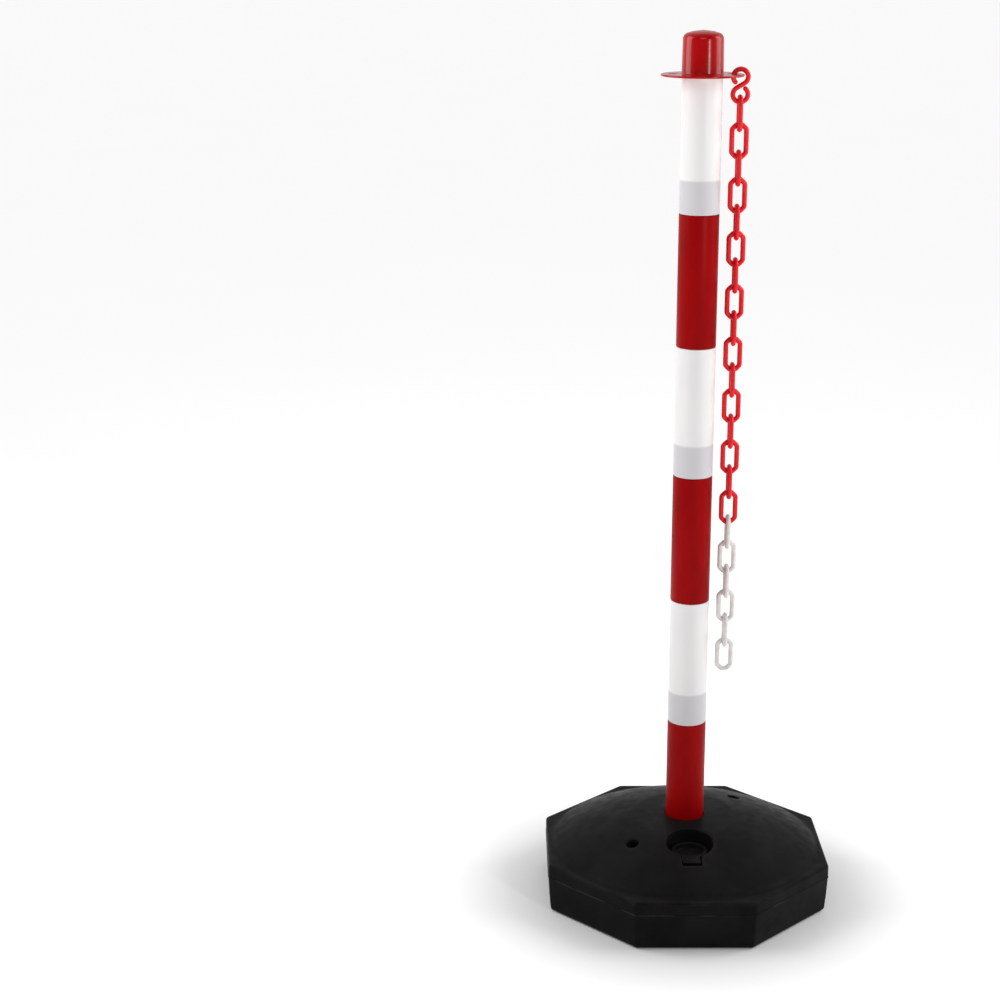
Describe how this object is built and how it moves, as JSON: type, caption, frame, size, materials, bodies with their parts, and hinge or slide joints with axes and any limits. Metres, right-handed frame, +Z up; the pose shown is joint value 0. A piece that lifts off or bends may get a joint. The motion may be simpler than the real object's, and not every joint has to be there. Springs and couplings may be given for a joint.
{
  "type": "plastic chain stanchion",
  "caption": "Free-standing plastic chain post: hollow octagonal base, striped push-fit pole, flanged top cap, S-hook and hanging chain.",
  "frame": {"origin": "middle of the base's underside", "axes": "+Z up the pole, -Y to the front (the filler's side), +X to the side that the chain hangs on"},
  "size_m": [0.292, 0.3015, 0.8996],
  "materials": {
    "black_base": "satin, blow-moulded black",
    "red_pole": "semi-gloss, slightly translucent red",
    "white_pole": "semi-gloss, slightly translucent white",
    "red_chain": "semi-gloss bright red",
    "white_chain": "semi-gloss off-white"
  },
  "bodies": {
    "base": {"base": "black_base"},
    "filler_cap": {"filler_cap": "black_base"},
    "drain_plug": {"drain_plug": "black_base"},
    "pole_1": {"pole_segment_1": "red_pole"},
    "pole_2": {"pole_segment_2": "white_pole"},
    "pole_3": {"pole_segment_3": "red_pole"},
    "pole_4": {"pole_segment_4": "white_pole"},
    "pole_5": {"pole_segment_5": "red_pole"},
    "pole_6": {"pole_segment_6": "white_pole"},
    "top_cap": {"top_cap": "red_pole"},
    "hook": {"s_hook": "red_chain"},
    "link_01": {"chain_link_01": "red_chain"},
    "link_02": {"chain_link_02": "red_chain"},
    "link_03": {"chain_link_03": "red_chain"},
    "link_04": {"chain_link_04": "red_chain"},
    "link_05": {"chain_link_05": "red_chain"},
    "link_06": {"chain_link_06": "red_chain"},
    "link_07": {"chain_link_07": "red_chain"},
    "link_08": {"chain_link_08": "red_chain"},
    "link_09": {"chain_link_09": "red_chain"},
    "link_10": {"chain_link_10": "red_chain"},
    "link_11": {"chain_link_11": "red_chain"},
    "link_12": {"chain_link_12": "red_chain"},
    "link_13": {"chain_link_13": "red_chain"},
    "link_14": {"chain_link_14": "red_chain"},
    "link_15": {"chain_link_15": "red_chain"},
    "link_16": {"chain_link_16": "red_chain"},
    "link_17": {"chain_link_17": "white_chain"},
    "link_18": {"chain_link_18": "white_chain"},
    "link_19": {"chain_link_19": "white_chain"},
    "link_20": {"chain_link_20": "white_chain"},
    "link_21": {"chain_link_21": "white_chain"},
    "link_22": {"chain_link_22": "white_chain"}
  },
  "joints": [
    {"name": "pole_1_lift", "type": "slide", "parent": "base", "child": "pole_1", "axis": [0, 0, 1], "range_m": [0, 0.024]},
    {"name": "pole_2_lift", "type": "slide", "parent": "pole_1", "child": "pole_2", "axis": [0, 0, 1], "range_m": [0, 0.03]},
    {"name": "pole_3_lift", "type": "slide", "parent": "pole_2", "child": "pole_3", "axis": [0, 0, 1], "range_m": [0, 0.03]},
    {"name": "pole_4_lift", "type": "slide", "parent": "pole_3", "child": "pole_4", "axis": [0, 0, 1], "range_m": [0, 0.03]},
    {"name": "pole_5_lift", "type": "slide", "parent": "pole_4", "child": "pole_5", "axis": [0, 0, 1], "range_m": [0, 0.03]},
    {"name": "pole_6_lift", "type": "slide", "parent": "pole_5", "child": "pole_6", "axis": [0, 0, 1], "range_m": [0, 0.03]},
    {"name": "top_cap_turn", "type": "hinge", "parent": "pole_6", "child": "top_cap", "pos_m": [0, 0, 0.85564], "axis": [0, 0, 1], "continuous": true},
    {"name": "filler_cap_pull", "type": "slide", "parent": "base", "child": "filler_cap", "axis": [0, 0, 1], "range_m": [0, 0.025]},
    {"name": "drain_plug_pull", "type": "slide", "parent": "base", "child": "drain_plug", "axis": [0, 1, 0], "range_m": [0, 0.02]},
    {"name": "hook_swing", "type": "hinge", "parent": "top_cap", "child": "hook", "pos_m": [0.03705, 0, 0.85505], "axis": [0, -1, 0], "range_deg": [0, 70]},
    {"name": "link_01_swing", "type": "hinge", "parent": "hook", "child": "link_01", "pos_m": [0.03705, 0, 0.83064], "axis": [1, 0, 0], "range_deg": [-40, 40]},
    {"name": "link_02_swing", "type": "hinge", "parent": "link_01", "child": "link_02", "pos_m": [0.03705, 0, 0.80919], "axis": [-1, 0, 0], "range_deg": [-40, 40]},
    {"name": "link_03_swing", "type": "hinge", "parent": "link_02", "child": "link_03", "pos_m": [0.03705, 0, 0.7776], "axis": [1, 0, 0], "range_deg": [-40, 40]},
    {"name": "link_04_swing", "type": "hinge", "parent": "link_03", "child": "link_04", "pos_m": [0.03705, 0, 0.75619], "axis": [-1, 0, 0], "range_deg": [-40, 40]},
    {"name": "link_05_swing", "type": "hinge", "parent": "link_04", "child": "link_05", "pos_m": [0.03705, 0, 0.72459], "axis": [1, 0, 0], "range_deg": [-40, 40]},
    {"name": "link_06_swing", "type": "hinge", "parent": "link_05", "child": "link_06", "pos_m": [0.03705, 0, 0.7032], "axis": [-1, 0, 0], "range_deg": [-40, 40]},
    {"name": "link_07_swing", "type": "hinge", "parent": "link_06", "child": "link_07", "pos_m": [0.03705, 0, 0.6716], "axis": [1, 0, 0], "range_deg": [-40, 40]},
    {"name": "link_08_swing", "type": "hinge", "parent": "link_07", "child": "link_08", "pos_m": [0.03705, 0, 0.65019], "axis": [-1, 0, 0], "range_deg": [-40, 40]},
    {"name": "link_09_swing", "type": "hinge", "parent": "link_08", "child": "link_09", "pos_m": [0.03705, 0, 0.6186], "axis": [1, 0, 0], "range_deg": [-40, 40]},
    {"name": "link_10_swing", "type": "hinge", "parent": "link_09", "child": "link_10", "pos_m": [0.03705, 0, 0.5972], "axis": [-1, 0, 0], "range_deg": [-40, 40]},
    {"name": "link_11_swing", "type": "hinge", "parent": "link_10", "child": "link_11", "pos_m": [0.03705, 0, 0.56559], "axis": [1, 0, 0], "range_deg": [-40, 40]},
    {"name": "link_12_swing", "type": "hinge", "parent": "link_11", "child": "link_12", "pos_m": [0.03705, 0, 0.54419], "axis": [-1, 0, 0], "range_deg": [-40, 40]},
    {"name": "link_13_swing", "type": "hinge", "parent": "link_12", "child": "link_13", "pos_m": [0.03705, 0, 0.5126], "axis": [1, 0, 0], "range_deg": [-40, 40]},
    {"name": "link_14_swing", "type": "hinge", "parent": "link_13", "child": "link_14", "pos_m": [0.03705, 0, 0.49119], "axis": [-1, 0, 0], "range_deg": [-40, 40]},
    {"name": "link_15_swing", "type": "hinge", "parent": "link_14", "child": "link_15", "pos_m": [0.03705, 0, 0.45959], "axis": [1, 0, 0], "range_deg": [-40, 40]},
    {"name": "link_16_swing", "type": "hinge", "parent": "link_15", "child": "link_16", "pos_m": [0.03705, 0, 0.4382], "axis": [-1, 0, 0], "range_deg": [-40, 40]},
    {"name": "link_17_swing", "type": "hinge", "parent": "link_16", "child": "link_17", "pos_m": [0.03705, 0, 0.40659], "axis": [1, 0, 0], "range_deg": [-40, 40]},
    {"name": "link_18_swing", "type": "hinge", "parent": "link_17", "child": "link_18", "pos_m": [0.03705, 0, 0.3852], "axis": [-1, 0, 0], "range_deg": [-40, 40]},
    {"name": "link_19_swing", "type": "hinge", "parent": "link_18", "child": "link_19", "pos_m": [0.03705, 0, 0.35359], "axis": [1, 0, 0], "range_deg": [-40, 40]},
    {"name": "link_20_swing", "type": "hinge", "parent": "link_19", "child": "link_20", "pos_m": [0.03705, 0, 0.3322], "axis": [-1, 0, 0], "range_deg": [-40, 40]},
    {"name": "link_21_swing", "type": "hinge", "parent": "link_20", "child": "link_21", "pos_m": [0.03705, 0, 0.3006], "axis": [1, 0, 0], "range_deg": [-40, 40]},
    {"name": "link_22_swing", "type": "hinge", "parent": "link_21", "child": "link_22", "pos_m": [0.03705, 0, 0.2792], "axis": [-1, 0, 0], "range_deg": [-40, 40]}
  ]
}
